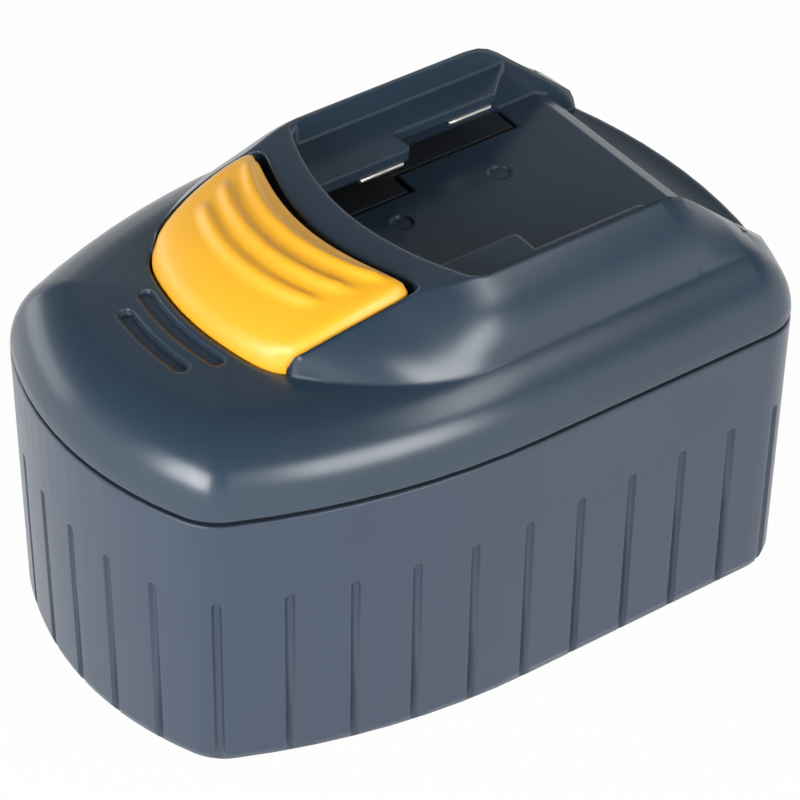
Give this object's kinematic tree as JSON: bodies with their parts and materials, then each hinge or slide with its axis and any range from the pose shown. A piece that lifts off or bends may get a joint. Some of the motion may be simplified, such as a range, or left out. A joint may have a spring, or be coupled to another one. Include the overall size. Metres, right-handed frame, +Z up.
{
  "type": "power tool battery pack",
  "caption": "Slide-on power tool battery pack: bow-ended grooved tub, domed cover with a railed tool socket open at the rear, and a sprung release button with a latch hook.",
  "frame": {"origin": "middle of the bounding box, on the surface that the pack stands on", "axes": "+X across the pack, +Y from the button end to the open end of the tool socket, +Z up"},
  "size_m": [0.0806, 0.12, 0.0741],
  "materials": {
    "tub_plastic": "satin",
    "cover_plastic": "satin",
    "amber_plastic": "satin",
    "dark_plastic": "matte",
    "steel": "zinc plated",
    "nickel": "satin",
    "contact_metal": "tinned",
    "cell_sleeve": "shrink sleeve",
    "foam": "matte",
    "card": "matte",
    "cutout_can": "satin",
    "sensor_bead": "gloss",
    "wire_dark": "satin",
    "wire_red": "satin"
  },
  "bodies": {
    "pack": {"lower_case": "tub_plastic", "upper_cover": "cover_plastic", "hinge_pin": "steel", "latch_frame": "dark_plastic", "button_spring_left": "steel", "button_spring_right": "steel", "cell_1": "cell_sleeve", "cell_2": "cell_sleeve", "cell_3": "cell_sleeve", "cell_4": "cell_sleeve", "cell_5": "cell_sleeve", "cell_6": "cell_sleeve", "cell_7": "cell_sleeve", "cell_8": "cell_sleeve", "cell_9": "cell_sleeve", "cell_10": "cell_sleeve", "cell_11": "cell_sleeve", "cell_12": "cell_sleeve", "link_low_1": "nickel", "link_low_2": "nickel", "link_low_3": "nickel", "link_low_4": "nickel", "link_low_5": "nickel", "link_low_6": "nickel", "link_top_1": "nickel", "link_top_2": "nickel", "link_top_3": "nickel", "link_top_4": "nickel", "link_top_5": "nickel", "bottom_pad": "foam", "top_card": "card", "front_spacer": "foam", "blade_front_left": "contact_metal", "blade_front_right": "contact_metal", "blade_rear_left": "contact_metal", "blade_rear_right": "contact_metal", "terminal_block_left": "dark_plastic", "terminal_block_right": "dark_plastic", "positive_lead": "nickel", "negative_lead": "nickel", "thermal_cutout": "cutout_can", "thermistor": "sensor_bead", "sensor_lead_left": "wire_dark", "sensor_lead_right": "wire_red", "case_screws": "steel", "frame_screws": "steel"},
    "button": {"release_button": "amber_plastic"}
  },
  "joints": [
    {"name": "button_press", "type": "hinge", "parent": "pack", "child": "button", "pos_m": [0, -0.03, 0.061], "axis": [1, 0, 0], "range_deg": [-7, 0], "stiffness_Nm_per_rad": 0.25, "springref_deg": 17.19, "deforming": ["button_spring_left", "button_spring_right"]}
  ]
}
